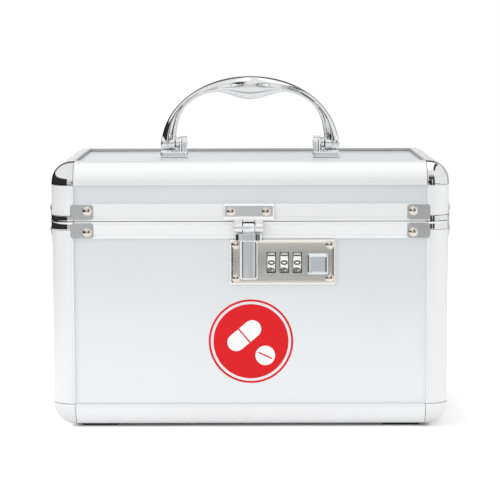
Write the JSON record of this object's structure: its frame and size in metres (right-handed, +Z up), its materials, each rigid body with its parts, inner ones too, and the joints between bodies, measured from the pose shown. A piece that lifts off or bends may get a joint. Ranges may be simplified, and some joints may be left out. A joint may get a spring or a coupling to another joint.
{
  "type": "medicine lock box",
  "caption": "Framed aluminium case with a hinged lid, a swinging carrying handle, and a hasp closed by a dial combination lock with a sliding release button.",
  "frame": {"origin": "on the surface that the case stands on, under the middle of its overall box", "axes": "+X along the case's width, to the right seen from the front; the front with the lock faces -Y; +Z up"},
  "size_m": [0.254, 0.163, 0.2212],
  "materials": {
    "satin_aluminium": "satin anodised aluminium extrusion, silver white",
    "panel_laminate": "fine-grained silver grey laminate on fibreboard",
    "chrome": "polished chrome plate",
    "zinc_plate": "bright zinc-plated pressed steel",
    "nickel_plate": "warm satin nickel-plated pressed steel",
    "hinge_steel": "bright steel strip with a light brushed grain",
    "spring_steel": "drawn spring wire, plain",
    "foot_rubber": "matt dark rubber",
    "dial_plastic": "white moulded plastic, semi-gloss",
    "digit_ink": "black printed digits",
    "print_red": "red printed badge",
    "print_white": "white printed badge",
    "lining": "dark foam lining with a fine pebbled grain"
  },
  "bodies": {
    "body": {"body_front_panel": "panel_laminate", "body_right_panel": "panel_laminate", "body_rear_panel": "panel_laminate", "body_left_panel": "panel_laminate", "body_bottom_panel": "panel_laminate", "body_post_front_left": "satin_aluminium", "body_post_front_right": "satin_aluminium", "body_post_rear_right": "satin_aluminium", "body_post_rear_left": "satin_aluminium", "body_edge_front": "satin_aluminium", "body_edge_right": "satin_aluminium", "body_edge_rear": "satin_aluminium", "body_edge_left": "satin_aluminium", "body_cap_front_left": "chrome", "body_cap_front_right": "chrome", "body_cap_rear_right": "chrome", "body_cap_rear_left": "chrome", "foot_front_left": "foot_rubber", "foot_front_right": "foot_rubber", "foot_rear_right": "foot_rubber", "foot_rear_left": "foot_rubber", "body_rim": "satin_aluminium", "body_bracket_front_left": "zinc_plate", "body_bracket_front_right": "zinc_plate", "body_bracket_rear_right": "zinc_plate", "body_bracket_rear_left": "zinc_plate", "hinge_body_leaf": "hinge_steel", "hinge_pin": "hinge_steel", "lock_plate": "nickel_plate", "lock_case": "zinc_plate", "lock_spring": "spring_steel"},
    "lid": {"lid_post_front_left": "satin_aluminium", "lid_post_front_right": "satin_aluminium", "lid_post_rear_right": "satin_aluminium", "lid_post_rear_left": "satin_aluminium", "lid_edge_front": "satin_aluminium", "lid_edge_right": "satin_aluminium", "lid_edge_rear": "satin_aluminium", "lid_edge_left": "satin_aluminium", "lid_cap_front_left": "chrome", "lid_cap_front_right": "chrome", "lid_cap_rear_right": "chrome", "lid_cap_rear_left": "chrome", "lid_rim": "satin_aluminium", "lid_wall_band": "panel_laminate", "lid_top_panel": "panel_laminate", "lid_bracket_front_left": "zinc_plate", "lid_bracket_front_right": "zinc_plate", "lid_bracket_rear_right": "zinc_plate", "lid_bracket_rear_left": "zinc_plate", "hinge_lid_leaf": "hinge_steel", "handle_bracket_right": "zinc_plate", "handle_bracket_left": "zinc_plate", "hasp_plate": "zinc_plate"},
    "handle": {"handle": "chrome"},
    "hasp": {"hasp": "chrome"},
    "dial_1": {"dial_1": "dial_plastic"},
    "dial_2": {"dial_2": "dial_plastic"},
    "dial_3": {"dial_3": "dial_plastic"},
    "release_slide": {"lock_slide": "chrome"}
  },
  "joints": [
    {"name": "lid_hinge", "type": "hinge", "parent": "body", "child": "lid", "pos_m": [0, 0.07718, 0.1327], "axis": [-1, 0, 0], "range_deg": [0, 100]},
    {"name": "handle_swing", "type": "hinge", "parent": "lid", "child": "handle", "pos_m": [0, -0.00042, 0.1775], "axis": [1, 0, 0], "range_deg": [-90, 90]},
    {"name": "hasp_swing", "type": "hinge", "parent": "lid", "child": "hasp", "pos_m": [-0.001, -0.07872, 0.1291], "axis": [-1, 0, 0], "range_deg": [0, 170]},
    {"name": "dial_1_spin", "type": "hinge", "parent": "body", "child": "dial_1", "pos_m": [0.0131, -0.06952, 0.10695], "axis": [1, 0, 0], "continuous": true},
    {"name": "dial_2_spin", "type": "hinge", "parent": "body", "child": "dial_2", "pos_m": [0.0212, -0.06952, 0.10695], "axis": [1, 0, 0], "continuous": true},
    {"name": "dial_3_spin", "type": "hinge", "parent": "body", "child": "dial_3", "pos_m": [0.0293, -0.06952, 0.10695], "axis": [1, 0, 0], "continuous": true},
    {"name": "release_travel", "type": "slide", "parent": "body", "child": "release_slide", "axis": [1, 0, 0], "range_m": [0, 0.0025], "stiffness_N_per_m": 400, "deforming": ["lock_spring"]}
  ]
}
